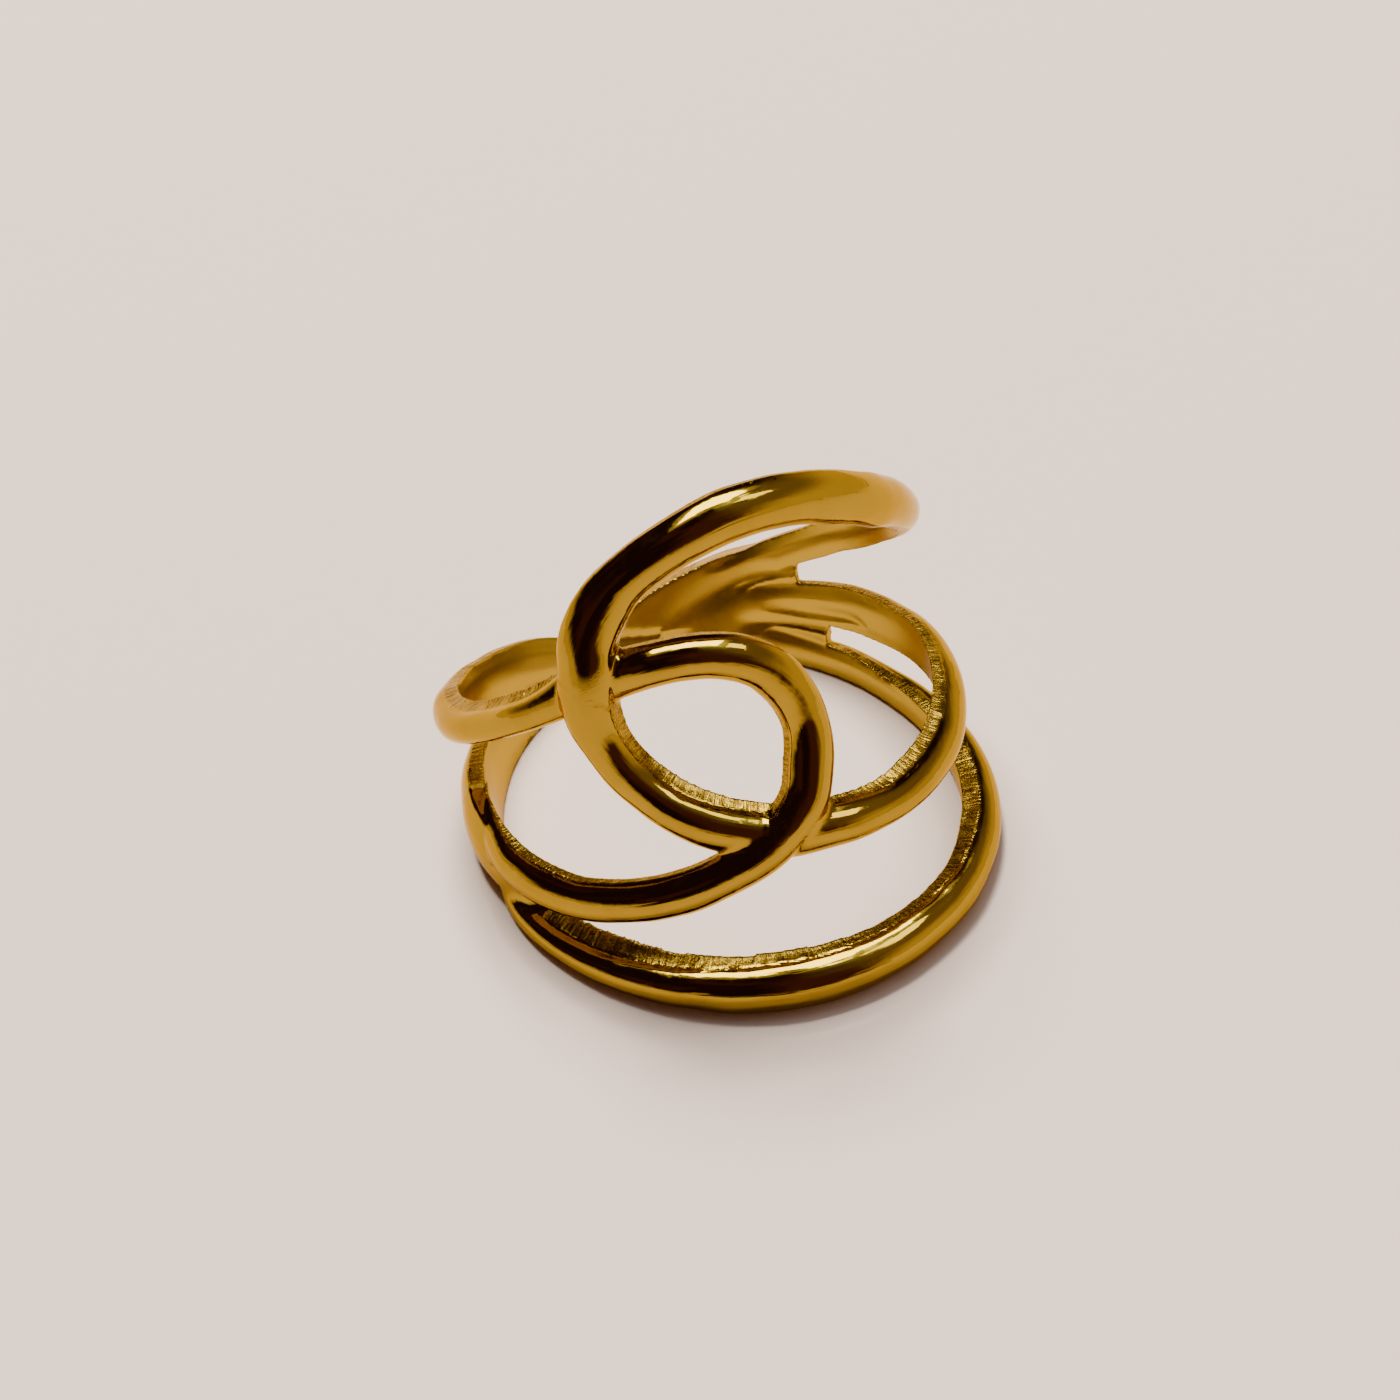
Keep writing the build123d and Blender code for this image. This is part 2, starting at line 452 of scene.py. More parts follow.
def finger_frame():
    """Foot of the finger axis on the floor, the axis, and the two directions across it that the
    angles are counted from and towards; the first is the axis's uphill side turned by LOW_SIDE."""
    axis = np.array(HOLE["axis"], float)
    axis /= np.linalg.norm(axis)
    uphill = np.array([0, 0, 1]) - axis * axis[2]
    uphill /= np.linalg.norm(uphill)
    turn = np.radians(LOW_SIDE)
    front = uphill * np.cos(turn) - np.cross(axis, uphill) * np.sin(turn)
    foot = millimetres(np.array(HOLE["pos_m"], float))
    return foot, axis, front, np.cross(axis, front)


def rim_height(angle, sizes):
    """Height of the resting rim up the finger axis: minus the rim's radius times the tangent of
    the lean times the cosine of the angle from the low side."""
    radius = BORE + millimetres(sizes.side) / 2
    lean = np.hypot(HOLE["axis"][0], HOLE["axis"][1]) / HOLE["axis"][2]
    return -radius * lean * np.cos(np.radians(angle - LOW_SIDE))


def share_height(angle, share, sizes):
    """Height up the finger axis of a share of the ring's depth. The depth at an angle is the
    middle depth plus a cosine from the low side."""
    swing = (FRONT_DEPTH - BACK_DEPTH) / 2 * np.cos(np.radians(angle - LOW_SIDE))
    return rim_height(angle, sizes) + share * ((FRONT_DEPTH + BACK_DEPTH) / 2 + swing)


def strand_line(rows, sizes):
    """Columns angle, height, width, lift, flare and lean of a free strand, in degrees and
    millimetres."""
    angle, share, width, lift, lean = rows.T
    height = share_height(angle, share, sizes)
    lift = lift * millimetres(sizes.wall)
    flare = np.zeros(len(rows))
    columns = [angle, height, width * STRAND_WIDTH, lift, flare, lean * STRAND_WIDTH]
    return np.stack(columns, axis=1)


def seated_line(rows, trim, sizes):
    """The same for a band whose lower edge follows the rim, the trim below it."""
    angle, width, lift, flare = rows.T
    width = width * STRAND_WIDTH
    height = rim_height(angle, sizes) + width / 2 - trim
    lift = lift * millimetres(sizes.wall)
    lean = np.zeros(len(rows))
    return np.stack([angle, height, width, lift, flare * STRAND_WIDTH, lean], axis=1)


def drawn_line(rows):
    """The rows joined by cubic Hermite pieces in the run along the bore's wall. A row's slope is
    the mean of the slopes on its two sides, each weighted by the other side's length."""
    run = np.hypot(np.radians(np.diff(rows[:, 0])) * BORE, np.diff(rows[:, 1]))
    run = np.concatenate([[0], np.cumsum(run)])
    gap = np.diff(run)[:, None]
    slope = np.diff(rows, axis=0) / gap
    inner = (slope[:-1] * gap[1:] + slope[1:] * gap[:-1]) / (gap[1:] + gap[:-1])
    slope = np.concatenate([slope[:1], inner, slope[-1:]])
    at = np.linspace(0, run[-1], int(run[-1] / STEP) + 2)
    piece = np.clip(np.searchsorted(run, at, side="right") - 1, 0, len(rows) - 2)
    gap = gap[piece]
    u = (at - run[piece])[:, None] / gap
    start = (2 * u**3 - 3 * u**2 + 1) * rows[piece] + (u**3 - 2 * u**2 + u) * gap * slope[piece]
    end = (3 * u**2 - 2 * u**3) * rows[piece + 1] + (u**3 - u**2) * gap * slope[piece + 1]
    return at, start + end


def wander(run, seed, wavelength):
    """A smooth wandering between about -1 and 1: five sines of nearby wavelengths, with seeded
    phases, added up."""
    rng = np.random.default_rng(seed)
    waves = wavelength * np.array([0.55, 0.8, 1.0, 1.45, 2.3])
    phases = rng.uniform(0, 2 * np.pi, len(waves))
    sizes = np.array([0.25, 0.4, 0.5, 0.45, 0.35])
    return (np.sin(run[:, None] * 2 * np.pi / waves + phases) * sizes).sum(axis=1)


def sections(run, line, side, sizes, seed):
    """A strand's sections, one in each column, as points x across the strand and y out from the
    bore's wall: a foot on the wall, two sides that lean from the foot's half-width to the
    shoulder's, and between the shoulders the arc of a circle through the crown, whose radius is
    (half squared + rise squared) / (2 rise). A foot flares by the flare times the shoulder over
    the shoulder plus STOCK."""
    _, _, width, lift, flare, lean = line.T
    wobble = millimetres(sizes.wobble)
    half = [width / 2 + wobble * wander(run, seed + k, EDGE_WAVE) for k in (0, 1)]
    shoulder = [side + lift + wobble * wander(run, seed + k, SHOULDER_WAVE) for k in (2, 3)]
    shoulder[1] = shoulder[1] + lean * SHOULDER_LIFT
    crown = np.maximum(millimetres(sizes.wall) + lift, shoulder[0] + LEAST_RISE)
    shoulder = [np.maximum(s, 0) for s in shoulder]
    reach = [h + flare * s / (s + STOCK) for h, s in zip(half, shoulder)]
    half[1] = half[1] - lean

    across = np.linspace(-1, 1, FOOT_POINTS)[:, None]
    up = np.linspace(0, 1, SIDE_POINTS)[1:-1, None]
    bend = np.linspace(-1, 1, CROWN_POINTS)[:, None]

    foot_x = np.where(across < 0, across * reach[0], across * reach[1])
    foot_y = np.zeros_like(foot_x)
    right_x = reach[1] + (half[1] - reach[1]) * up
    right_y = shoulder[1] * up
    left_x = -(reach[0] + (half[0] - reach[0]) * up[::-1])
    left_y = shoulder[0] * up[::-1]

    chord = (half[0] + half[1]) / 2
    middle = (half[1] - half[0]) / 2
    tilt = (shoulder[1] - shoulder[0]) / 2
    rise = np.maximum(crown - (shoulder[0] + shoulder[1]) / 2, LEAST_RISE)
    radius = (chord**2 + rise**2) / (2 * rise)
    spread = np.arctan2(chord, radius - rise)
    arc_x = middle + radius * np.sin(-bend * spread)
    arc_y = crown - radius + radius * np.cos(bend * spread) + tilt * np.clip(-bend, -1, 1)

    x = np.concatenate([foot_x, right_x, arc_x, left_x])
    return x, np.maximum(np.concatenate([foot_y, right_y, arc_y, left_y]), 0)


def strand_skin(rows, side, sizes, seed):
    """One strand: its section carried along its line, with both ends closed. Gives its points,
    quads and end caps, and its trail: angle, height, run, half-width, shoulder and heading.
    A section's point (x across, y out) lies at the line's point plus y along the radius and x
    along the cross of radius and heading. A point below the floor moves up the finger's axis
    onto it."""
    foot, axis, front, left = finger_frame()
    run, line = drawn_line(rows)
    x, y = sections(run, line, side, sizes, seed)
    angle, height, width, lift = line.T[:4]
    turn = np.radians(angle)

    heading_round = np.gradient(turn * BORE, run)
    heading_up = np.gradient(height, run)
    length = np.hypot(heading_round, heading_up)
    cross_round = -heading_up / length
    cross_up = heading_round / length

    outward = BORE + y
    aside = x * cross_round
    spot = turn + np.arctan2(aside, outward)
    distance = np.maximum(np.hypot(outward, aside), BORE)
    distance = np.where(y <= 0, BORE, distance)
    up_axis = height + x * cross_up
    points = (
        foot
        + up_axis[..., None] * axis
        + (distance * np.cos(spot))[..., None] * front
        + (distance * np.sin(spot))[..., None] * left
    )
    below = np.minimum(points[..., 2], 0)
    points -= (below / axis[2])[..., None] * axis

    grid = np.arange(x.size).reshape(x.shape)
    nxt = np.roll(grid, -1, axis=0)
    quads = np.stack([grid[:, :-1], nxt[:, :-1], nxt[:, 1:], grid[:, 1:]], axis=-1).reshape(-1, 4)
    caps = [grid[::-1, 0].tolist(), grid[:, -1].tolist()]
    columns = [angle, height, run, width / 2, side + lift, cross_up, -cross_round]
    trail = np.stack(columns, axis=1)
    return points.reshape(-1, 3), quads, caps, trail


def worked(mesh, kind, **settings):
    """The mesh that one modifier makes of this one, which is dropped."""
    holder = bpy.data.objects.new("wax", mesh)
    bpy.context.scene.collection.objects.link(holder)
    modifier = holder.modifiers.new("tool", kind)
    for name, value in settings.items():
        setattr(modifier, name, value)
    depsgraph = bpy.context.evaluated_depsgraph_get()
    result = bpy.data.meshes.new_from_object(holder.evaluated_get(depsgraph))
    bpy.data.objects.remove(holder)
    bpy.data.meshes.remove(mesh)
    return result


def cast_together(points, faces):
    """One skin round all the strands: their union, drawn again on a grid of GRAIN."""
    wax = bpy.data.meshes.new("wax")
    wax.from_pydata(points.tolist(), [], faces)
    return worked(wax, "REMESH", mode="VOXEL", voxel_size=GRAIN, use_smooth_shade=True)


def thinned(mesh):
    """The same skin with fewer triangles, most where it bends most."""
    mesh.calc_loop_triangles()
    share = MOST_TRIANGLES / len(mesh.loop_triangles)
    return worked(mesh, "DECIMATE", ratio=share)


def spots(mesh):
    """The mesh's points as rows of x, y and z."""
    flat = np.empty(len(mesh.vertices) * 3, np.float32)
    mesh.vertices.foreach_get("co", flat)
    return flat.reshape(-1, 3).astype(float)


def normals(mesh):
    """The outward direction at each point."""
    flat = np.empty(len(mesh.vertices) * 3, np.float32)
    mesh.vertex_normals.foreach_get("vector", flat)
    return flat.reshape(-1, 3).astype(float)


def move(mesh, points):
    """Puts the points into the mesh."""
    mesh.vertices.foreach_set("co", points.astype(np.float32).ravel())
    mesh.update()


def keep(mesh, name, kind, values):
    """Keeps a value or a row of three at each point under the name."""
    held = mesh.attributes.new(name, kind, "POINT")
    key = "value" if kind == "FLOAT" else "vector"
    held.data.foreach_set(key, values.astype(np.float32).ravel())


class Neighbours:
    """Each point's neighbours along the mesh's edges."""

    def __init__(self, mesh):
        ends = np.empty(len(mesh.edges) * 2, np.int32)
        mesh.edges.foreach_get("vertices", ends)
        self.one, self.two = ends.reshape(-1, 2).T
        self.count = len(mesh.vertices)
        self.share = 1 / np.maximum(np.bincount(ends, minlength=self.count), 1)

    def mean(self, values):
        """Mean of the values at a point's neighbours, column by column."""
        sums = [
            np.bincount(self.one, column[self.two], self.count)
            + np.bincount(self.two, column[self.one], self.count)
            for column in values.T
        ]
        return np.stack(sums, axis=1) * self.share[:, None]


def run_metal_in(mesh, near, sizes, rounds):
    """Fills inner corners: a point that lies lower than the mean of its neighbours by more than
    GRAIN squared over four times a radius, as it would in a hollow of that radius, rises along
    the normal by part of the rest. The radius grows from the fillet to the flow with the distance
    from the finger. Gives how far metal ran in at each point, from 0 to 1."""
    _, _, distance, _ = round_and_up(spots(mesh))
    crown = np.clip((distance - BORE) / millimetres(sizes.side), 0, 1)
    allowed = GRAIN**2 / (4 * millimetres(sizes.fillet + crown * (sizes.flow - sizes.fillet)))
    before = spots(mesh)
    for _ in range(rounds):
        points = spots(mesh)
        out = normals(mesh)
        for _ in range(FILLINGS):
            sag = ((near.mean(points) - points) * out).sum(axis=1)
            points += out * (FILLED_SHARE * np.maximum(sag - allowed, 0))[:, None]
        move(mesh, points)
    soft = np.clip(np.linalg.norm(points - before, axis=1) / FULL_RUN, 0, 1)[:, None]
    for _ in range(6):
        soft = near.mean(soft)
    return soft


def settle(mesh, near, rounds, soft=1):
    """Takes the grid's steps out: each point goes half the way to its neighbours' mean and a
    little more than that back, so that the form doesn't shrink, and less where soft is below 1."""
    for _ in range(rounds):
        for share in SETTLE_STEPS:
            points = spots(mesh)
            move(mesh, points + share * soft * (near.mean(points) - points))


def round_and_up(points):
    """Angle round the finger, height up its axis, distance from it, and direction away from it."""
    foot, axis, front, left = finger_frame()
    arm = points - foot
    height = arm @ axis
    away = arm - height[:, None] * axis
    distance = np.linalg.norm(away, axis=1)
    angle = np.degrees(np.arctan2(arm @ left, arm @ front))
    return angle, height, distance, away / distance[:, None]


def nearest(points, line):
    """For each point the nearest of the line's stations, and how far from it the point is along
    and across the line, measured on the bore's wall. A station's first columns are its angle and
    height, and its last two the heading."""
    angle, height, _, _ = round_and_up(points)
    best = np.full(len(points), np.inf)
    index = np.zeros(len(points), int)
    for number, station in enumerate(line):
        turn = (angle - station[0] + 180) % 360 - 180
        gap = (np.radians(turn) * BORE) ** 2 + (height - station[1]) ** 2
        closer = gap < best
        best[closer] = gap[closer]
        index[closer] = number
    station = line[index]
    round_by = np.radians((angle - station[:, 0] + 180) % 360 - 180) * BORE
    up_by = height - station[:, 1]
    heading_round, heading_up = station[:, -2:].T
    along = round_by * heading_round + up_by * heading_up
    across = up_by * heading_round - round_by * heading_up
    return index, along, across


def milestones(trails):
    """Every fourth station of the trails: close enough together to tell the nearest by."""
    return np.concatenate([trail[::4] for trail in trails])


def seam_line(rows, sizes):
    """A seam's stations: angle, height, depth, breadth and heading."""
    height = share_height(rows[:, 0], rows[:, 1], sizes)
    run, line = drawn_line(np.column_stack([rows[:, 0], height, rows[:, 2:]]))
    places = (np.radians(line[:, 0]) * BORE, line[:, 1])
    heading = np.stack([np.gradient(place, run) for place in places])
    heading /= np.linalg.norm(heading, axis=0)
    return np.column_stack([line, heading.T])


def waves(points, wavelength, seed):
    """A smooth random height between about -1 and 1: a quarter of the sum of nine plane sine
    waves in seeded directions, with lengths near the given one."""
    rng = np.random.default_rng(seed)
    total = np.zeros(len(points))
    for _ in range(9):
        direction = rng.normal(size=3)
        direction *= 2 * np.pi / (wavelength * rng.uniform(0.7, 1.6) * np.linalg.norm(direction))
        total += np.sin(points @ direction + rng.uniform(0, 2 * np.pi))
    return total / 4


class RING_OT_cast(bpy.types.Operator):
    """Casts the ring: draws its strands, runs them together and settles the skin"""

    bl_idname = "ring.cast"
    bl_label = "Cast the ring"

    def execute(self, context):
        sizes = context.scene.ring_sizes
        points, faces, trails = self.draw_strands(sizes)
        mesh = cast_together(points, faces)
        near = Neighbours(mesh)
        settle(mesh, near, FIRST_SETTLE)
        soft = run_metal_in(mesh, near, sizes, RUN_ROUNDS)
        settle(mesh, near, RUN_SETTLE, soft)
        settle(mesh, near, LAST_SETTLE)
        self.ease_inside(mesh, trails[2:], sizes)
        self.ripple_crowns(mesh, sizes)
        keep(mesh, "run_in", "FLOAT", soft)
        mesh = thinned(mesh)
        self.mark_faces(mesh, Neighbours(mesh), trails)

        low, high = (millimetres(np.array(corner)) for corner in cad_box)
        move(mesh, np.clip(self.on_the_hole(spots(mesh)), low, high) / 1000)
        mesh.name = "knot_ring_skin"
        ring = bpy.data.objects.new("openwork_ring", mesh)
        context.scene.collection.objects.link(ring)
        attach(ring, "root")
        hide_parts("knot_ring")
        return {"FINISHED"}

    @staticmethod
    def draw_strands(sizes):
        """The points and faces of all the strands in one list each, and their trails. The first
        two, the shank and its web, are plates with shoulders nearly as high as the wall."""
        side = millimetres(sizes.side)
        broad = millimetres(sizes.wall) - SHANK_CROWN
        drawn = [
            (seated_line(SHANK, SHANK_TRIM, sizes), broad),
            (seated_line(SHANK_WEB, SHANK_TRIM, sizes), broad),
            (seated_line(BASE_BAND, RIM_TRIM, sizes), side),
            (seated_line(LEFT_BAND, SHANK_TRIM / 2, sizes), side),
            (strand_line(CROWN_STRAND, sizes), side),
            (strand_line(LOOP_STRAND, sizes), side),
        ]
        points, faces, trails, used = [], [], [], 0
        for index, (rows, height) in enumerate(drawn):
            skin, quads, caps, trail = strand_skin(rows, height, sizes, seed=10 * index)
            points.append(skin)
            faces += (quads + used).tolist() + [[p + used for p in cap] for cap in caps]
            trails.append(trail)
            used += len(skin)
        return np.concatenate(points), faces, trails

    @staticmethod
    def ripple_crowns(mesh, sizes):
        """Moves the crowns along their normals by smooth random waves, which fade out over the
        last 0.3 mm down to the sides."""
        points = spots(mesh)
        _, _, distance, _ = round_and_up(points)
        outside = np.clip((distance - BORE - millimetres(sizes.side)) / 0.3, 0, 1)
        ripple = waves(points, CROWN_WAVE, CROWN_SEED) * millimetres(sizes.ripple) * outside
        move(mesh, points + normals(mesh) * ripple[:, None])

    @staticmethod
    def on_the_hole(points):
        """Points that came nearer to the axis than the hole's wall go back to it."""
        _, _, distance, away = round_and_up(points)
        short = np.maximum(BORE - distance, 0)
        return points + away * short[:, None]

    @staticmethod
    def ease_inside(mesh, trails, sizes):
        """Rounds the face that lies on the finger towards each strand's edges, and presses the
        soft seams into the shank. A point moves away from the finger by a bell curve of its
        distance from a strand's edge, or from a seam, and less the further it is up a side. The
        rounding is gone 1.5 mm past a strand's end, and a seam 0.8 mm past its own."""
        points = spots(mesh)
        _, _, distance, away = round_and_up(points)
        inside = np.clip(1 - (distance - BORE) / INSIDE_REACH, 0, 1)
        line = milestones(trails)
        index, along, across = nearest(points, line)
        edge = np.abs(across) / line[index, 3] - 1
        fade = np.clip(1.5 - np.abs(along), 0, 1)
        push = EDGE_ROUNDING * np.exp(-((edge / EDGE_SHARE) ** 2)) * fade
        for rows in (HIGH_SEAM, LOW_SEAM):
            seam = seam_line(rows, sizes)
            index, along, across = nearest(points, seam)
            deep, broad = seam[index, 2], seam[index, 3]
            fade = np.clip(1.3 - np.abs(along) / 0.6, 0, 1)
            push = np.maximum(push, deep * np.exp(-((across / broad) ** 2)) * fade)
        push += UNEVENNESS * (1 + np.clip(waves(points, INSIDE_WAVE, INSIDE_SEED), -1, 1))
        points += away * (push * inside)[:, None]
        move(mesh, points)

    @staticmethod
    def mark_faces(mesh, near, trails):
        """Keeps two rows of three at each point. The first says how far it is satin, filed and
        polished: satin grows as the outward part of its normal goes from -0.2 to -0.7, filed
        fades over the last 0.1 mm below its strand's shoulder and where metal ran in, and
        polished is the rest. The second, which the file marks follow, is its run along the
        strand, its height over the finger and its distance across."""
        points = spots(mesh)
        _, _, distance, away = round_and_up(points)
        line = milestones(trails)
        index, along, across = nearest(points, line)
        lean = (normals(mesh) * away).sum(axis=1)
        satin = np.clip(-lean * 2 - 0.4, 0, 1)
        filed = np.clip((line[index, 4] - (distance - BORE)) / 0.1, 0, 1) * (1 - satin)
        soft = np.empty(len(points), np.float32)
        mesh.attributes["run_in"].data.foreach_get("value", soft)
        filed *= 1 - np.clip(soft * 1.6 - 0.4, 0, 1)
        marks = np.stack([satin, filed, 1 - satin - filed], axis=1)
        marks = (marks + near.mean(marks)) / 2
        lay = np.stack([line[index, 2] + along, distance - BORE, across], axis=1)
        keep(mesh, "marks", "FLOAT_VECTOR", marks)
        keep(mesh, "lay", "FLOAT_VECTOR", lay)


class Channel:
    """A value in a material, on which arithmetic adds the Math nodes that it stands for."""

    def __init__(self, recipe, socket):
        self.recipe = recipe
        self.socket = socket

    def math(self, operation, *values):
        return self.recipe.node("ShaderNodeMath", {"operation": operation}, *values)

    def __add__(self, other):
        return self.math("ADD", self, other)

    def __sub__(self, other):
        return self.math("SUBTRACT", self, other)

    def __rsub__(self, other):
        return self.math("SUBTRACT", other, self)

    def __mul__(self, other):
        return self.math("MULTIPLY", self, other)

    __radd__ = __add__
    __rmul__ = __mul__


class Recipe:
    """The nodes of one material, or of the room round the floor."""

    def __init__(self, owner, shader):
        owner.use_nodes = True
        self.owner = owner
        self.tree = owner.node_tree
        self.shader = self.tree.nodes[shader]

    def node(self, kind, settings=None, *values, **named):
        """Adds a node: its settings first, then its sockets by place and by name. Gives its
        first shown output, or a dict of them all if the settings ask for outputs."""
        made = self.tree.nodes.new(kind)
        settings = dict(settings or {})
        wanted = settings.pop("outputs", False)
        for key, value in settings.items():
            setattr(made, key, value)
        shown = [s for s in made.inputs if s.enabled]
        for socket, value in zip(shown, values):
            self.feed(socket, value)
        for name, value in named.items():
            self.feed(next(s for s in shown if s.name == name), value)
        outputs = {s.name: Channel(self, s) for s in made.outputs if s.enabled}
        return outputs if wanted else next(iter(outputs.values()))

    def feed(self, socket, value):
        """Links a channel to a socket, or sets the socket's own value."""
        if isinstance(value, Channel):
            self.tree.links.new(value.socket, socket)
        else:
            socket.default_value = value

    def blend(self, share, one, two):
        """Colour one at share 0, colour two at share 1."""
        return self.node("ShaderNodeMix", {"data_type": "RGBA"}, Factor=share, A=one, B=two)

    def step(self, value, low, high):
        """0 below low and 1 above high, rising smoothly between."""
        settings = {"interpolation_type": "SMOOTHSTEP"}
        return self.node("ShaderNodeMapRange", settings, value, low, high, 0.0, 1.0)

    def noise(self, vector, scale, detail=2.0, distortion=0.0):
        """A noise between 0 and 1."""
        sockets = {"Vector": vector, "Scale": scale, "Detail": detail, "Distortion": distortion}
        return self.node("ShaderNodeTexNoise", None, **sockets)

    def stretched(self, vector, x, y, z):
        """The coordinates, scaled by x, y and z."""
        return self.node("ShaderNodeVectorMath", {"operation": "MULTIPLY"}, vector, (x, y, z))

    def texture_place(self, kind):
        """Texture coordinates of the kind."""
        return self.node("ShaderNodeTexCoord", {"outputs": True})[kind]

    def kept(self, name):
        """A row of three that the mesh keeps at each point under the name."""
        settings = {"attribute_name": name, "outputs": True}
        return self.node("ShaderNodeAttribute", settings)["Vector"]

    def parts(self, vector):
        """The three numbers of a row."""
        return self.node("ShaderNodeSeparateXYZ", {"outputs": True}, vector).values()


def opaque(colour):
    """A colour property with its alpha."""
    return (*colour, 1)


class RING_OT_finish(bpy.types.Operator):
    """Gives the cast its gold: polished crowns, filed sides and a satin face on the finger"""

    bl_idname = "ring.finish"
    bl_label = "Finish in gold"

    def execute(self, context):
        look = context.scene.ring_finish
        gold = Recipe(bpy.data.materials.new("polished_gold"), "Principled BSDF")
        place = gold.stretched(gold.texture_place("Object"), 1000, 1000, 1000)
        satin, filed, crown = gold.parts(gold.kept("marks"))
        lay = gold.kept("lay")

        # Patterns in millimetres: patches, clouds and grit in space, and along the strands the
        # file's strokes, its deeper cuts and the lines that polishing leaves
        patches = gold.noise(place, 0.5, 3.0)
        cloud = gold.noise(place, 1.7, 3.0)
        grit = gold.noise(place, 11.0, 3.0)
        strokes = gold.noise(gold.stretched(lay, 9, 0.9, 0.9), 1.0, 3.0, 0.5)
        cuts = gold.noise(gold.stretched(lay, 3.5, 1.1, 1.1), 1.0, 3.0, 0.5)
        lines = gold.noise(gold.stretched(lay, 0.35, 1, 5.5), 1.0, 2.0, 0.3)
        coarse = gold.step(patches, 0.42, 0.62)

        deeper = gold.step(patches, 0.45, 0.7) * 0.6
        colour = gold.blend(deeper, opaque(look.gold), opaque(look.deep_gold))
        # Where the file strokes are low, the strip blends to the darker mark colour: painted shade
        # in the hollows of the file marks
        marked = gold.step(strokes * 0.75 + grit * 0.25, 0.36, 0.58)
        strip = gold.blend(marked, opaque(look.file_dirt), opaque(look.filed_gold))
        colour = gold.blend(filed * 0.9, colour, strip)
        colour = gold.blend(satin, colour, opaque(look.satin_gold))
        gold.feed(gold.shader.inputs["Base Color"], colour)
        gold.feed(gold.shader.inputs["Metallic"], 1.0)
        gold.feed(gold.shader.inputs["Specular Tint"], (1.0, 0.80, 0.50, 1.0))

        rough = look.polish * crown + look.filed * filed + look.satin * satin
        rough = rough + crown * gold.step(cloud, 0.5, 0.75) * 0.07 + filed * (grit - 0.5) * 0.3
        gold.feed(gold.shader.inputs["Roughness"], rough)

        # Heights in millimetres
        height = filed * (strokes * 0.045 + grit * 0.014 + coarse * cuts * 0.07)
        height = height + satin * grit * 0.003
        height = height + crown * (cloud * 0.003 + lines * (coarse * 0.012 + 0.006))
        bump = gold.node("ShaderNodeBump", None, Strength=1.0, Distance=0.001, Height=height)
        gold.feed(gold.shader.inputs["Normal"], bump)

        ring = context.scene.objects["openwork_ring"]
        ring.data.materials.clear()
        ring.data.materials.append(gold.owner)
        return {"FINISHED"}


def soft_light(name, place, width, depth, power, colour):
    """A rectangular soft light at the place, turned towards the ring."""
    light = bpy.data.lights.new(name, "AREA")
    light.shape = "RECTANGLE"
    light.size, light.size_y = width, depth
    light.energy, light.color = power, colour
    lamp = bpy.data.objects.new(name, light)
    bpy.context.scene.collection.objects.link(lamp)
    lamp.location = place
    lamp.rotation_euler = (-Vector(place)).to_track_quat("-Z", "Y").to_euler()
    return lamp


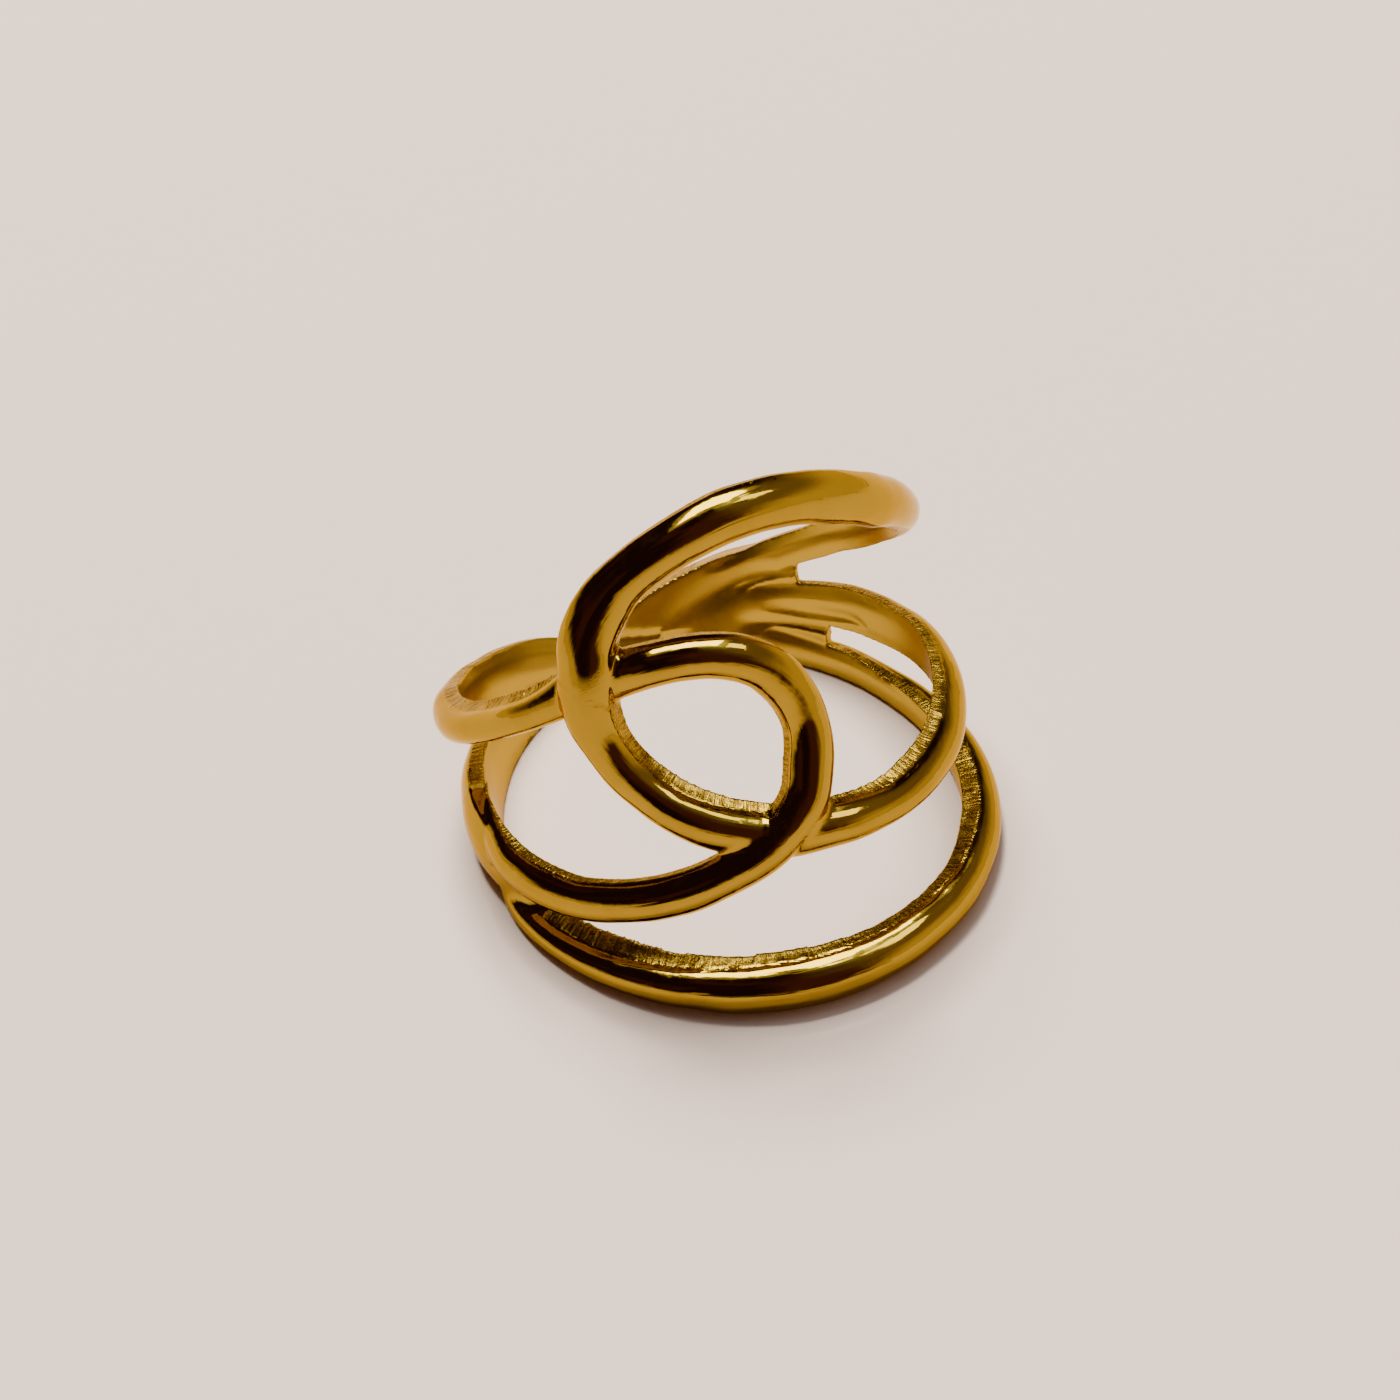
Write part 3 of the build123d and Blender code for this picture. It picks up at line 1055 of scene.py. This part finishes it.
class RING_OT_studio(bpy.types.Operator):
    """Sets the floor, the soft light and the camera"""

    bl_idname = "ring.studio"
    bl_label = "Set the studio"

    def execute(self, context):
        studio = context.scene.ring_studio
        self.lay_floor(studio)
        self.hang_lights(studio)
        context.scene.world = self.paint_room(studio)
        self.set_camera(context.scene)
        return {"FINISHED"}

    @staticmethod
    def hang_lights(studio):
        """A softbox above with a bright core and a smaller one on the right, which the gold
        mirrors, and a window behind on the left, which lights the floor. A light's power is pi
        times its area times its brightness."""
        boxes = (
            ("softbox", (0, 0.2, 0.8), 0.74, 0.7, studio.softbox),
            ("softbox_core", (0, 0.21, 0.78), 0.57, 0.45, studio.core),
            ("side_box", (0.43, 0.02, 0.67), 0.24, 0.2, studio.side_box),
        )
        for name, place, width, depth, bright in boxes:
            power = np.pi * width * depth * bright
            lamp = soft_light(name, place, width, depth, power, (1, 0.985, 0.96))
            lamp.visible_diffuse = False
        window = soft_light("window", (-0.14, 0.46, 0.8), 0.35, 0.35, studio.window, (1, 0.95, 0.9))
        window.visible_glossy = False

    @staticmethod
    def paint_room(studio):
        """A dim room: dark behind the camera and on the left, a warm wall on the right whose
        light fades upwards, a pale ceiling beside the softbox, and the floor's own light low
        down all round."""
        room = Recipe(bpy.data.worlds.new("dim_room"), "Background")
        way = room.texture_place("Generated")
        right, back, up = room.parts(way)
        side = room.step(right, 0.15, 0.6) * room.step(back, -0.75, -0.3)
        low = 1 - room.step(up, 0.2, 0.6)
        ceiling = room.step(up, 0.8, 0.93) * room.step(right, 0.1, 0.4) * room.step(back, -0.5, 0.0)
        front = room.step(right, -0.1, 0.3) * (1 - room.step(back, -0.6, -0.1))
        front = front + room.step(room.noise(way, 2.2, 2.0), 0.5, 0.68) * 0.6
        colour = room.blend(front, opaque(studio.dark), opaque(studio.brown))
        colour = room.blend(side, colour, opaque(studio.upper_wall))
        colour = room.blend(side * low, colour, opaque(studio.wall))
        colour = room.blend(ceiling, colour, opaque(studio.ceiling))
        shade = 1 - room.step(back, -0.95, -0.4)
        glow = 1 - room.step(up + shade * 0.14, 0.08, 0.28)
        colour = room.blend(glow, colour, opaque(studio.wall))
        room.feed(room.shader.inputs["Color"], colour)
        room.feed(room.shader.inputs["Strength"], studio.room)
        return room.owner

    @staticmethod
    def lay_floor(studio):
        """A flat disc a hair's breadth under the ring: circles of points round its middle, whose
        radii grow as the power 1.5 of their number."""
        radii = studio.floor_radius * np.linspace(0, 1, 9)[1:] ** 1.5
        turns = np.linspace(0, 2 * np.pi, 97)[:-1]
        x = np.outer(radii, np.cos(turns)).ravel()
        y = np.outer(radii, np.sin(turns)).ravel()
        points = np.stack([x, y, np.full(x.size, -0.00002)], axis=1)
        grid = np.arange(x.size).reshape(len(radii), len(turns))
        nxt = np.roll(grid, -1, axis=1)
        quads = np.stack([grid[:-1], grid[1:], nxt[1:], nxt[:-1]], axis=-1).reshape(-1, 4)
        mesh = bpy.data.meshes.new("floor")
        mesh.from_pydata(points.tolist(), [], quads.tolist() + [grid[0].tolist()])
        floor = bpy.data.objects.new("floor", mesh)
        bpy.context.scene.collection.objects.link(floor)
        pale = Recipe(bpy.data.materials.new("pale_floor"), "Principled BSDF")
        place = pale.stretched(pale.texture_place("Object"), 1000, 1000, 1000)
        tooth = pale.noise(place, 1.2, 3.0)
        darker = tuple(c * 0.96 for c in studio.floor)
        colour = pale.blend(tooth, opaque(studio.floor), opaque(darker))
        pale.feed(pale.shader.inputs["Base Color"], colour)
        pale.feed(pale.shader.inputs["Roughness"], 0.6)
        mesh.materials.append(pale.owner)

    @staticmethod
    def set_camera(scene):
        """The camera looks down at 42 degrees, with a small roll to the right."""
        data = bpy.data.cameras.new("camera")
        data.lens = CAMERA_LENS
        data.sensor_width = 36
        data.clip_start = 0.001
        camera = bpy.data.objects.new("camera", data)
        scene.collection.objects.link(camera)
        place, aim = Vector(CAMERA_PLACE), Vector(CAMERA_AIM)
        look = (aim - place).to_track_quat("-Z", "Y").to_matrix().to_4x4()
        roll = Matrix.Rotation(np.radians(CAMERA_ROLL), 4, "Z")
        camera.matrix_world = Matrix.Translation(place) @ look @ roll
        scene.camera = camera


class RING_PT_panel(bpy.types.Panel):
    """The ring's sizes, finish and studio"""

    bl_idname = "RING_PT_panel"
    bl_label = "Openwork ring"
    bl_space_type = "VIEW_3D"
    bl_region_type = "UI"
    bl_category = "Ring"

    def draw(self, context):
        scene = context.scene
        for group in (scene.ring_sizes, scene.ring_finish, scene.ring_studio):
            box = self.layout.box()
            for name in group.bl_rna.properties.keys():
                if name not in ("rna_type", "name"):
                    box.prop(group, name)
        for operator in (RING_OT_cast, RING_OT_finish, RING_OT_studio):
            self.layout.operator(operator.bl_idname)


CLASSES = (
    RingSizes, RingFinish, RingStudio, RING_OT_cast, RING_OT_finish, RING_OT_studio, RING_PT_panel,
)


def register():
    """Makes the classes known, and hangs the three groups of values on the scene."""
    for kind in CLASSES:
        bpy.utils.register_class(kind)
    bpy.types.Scene.ring_sizes = bpy.props.PointerProperty(type=RingSizes)
    bpy.types.Scene.ring_finish = bpy.props.PointerProperty(type=RingFinish)
    bpy.types.Scene.ring_studio = bpy.props.PointerProperty(type=RingStudio)


def unregister():
    """Takes them away again."""
    del bpy.types.Scene.ring_studio
    del bpy.types.Scene.ring_finish
    del bpy.types.Scene.ring_sizes
    for kind in reversed(CLASSES):
        bpy.utils.unregister_class(kind)


def main():
    """Casts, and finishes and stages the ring."""
    register()
    bpy.ops.ring.cast()
    bpy.ops.ring.finish()
    bpy.ops.ring.studio()


if __name__ == "__main__":
    main()
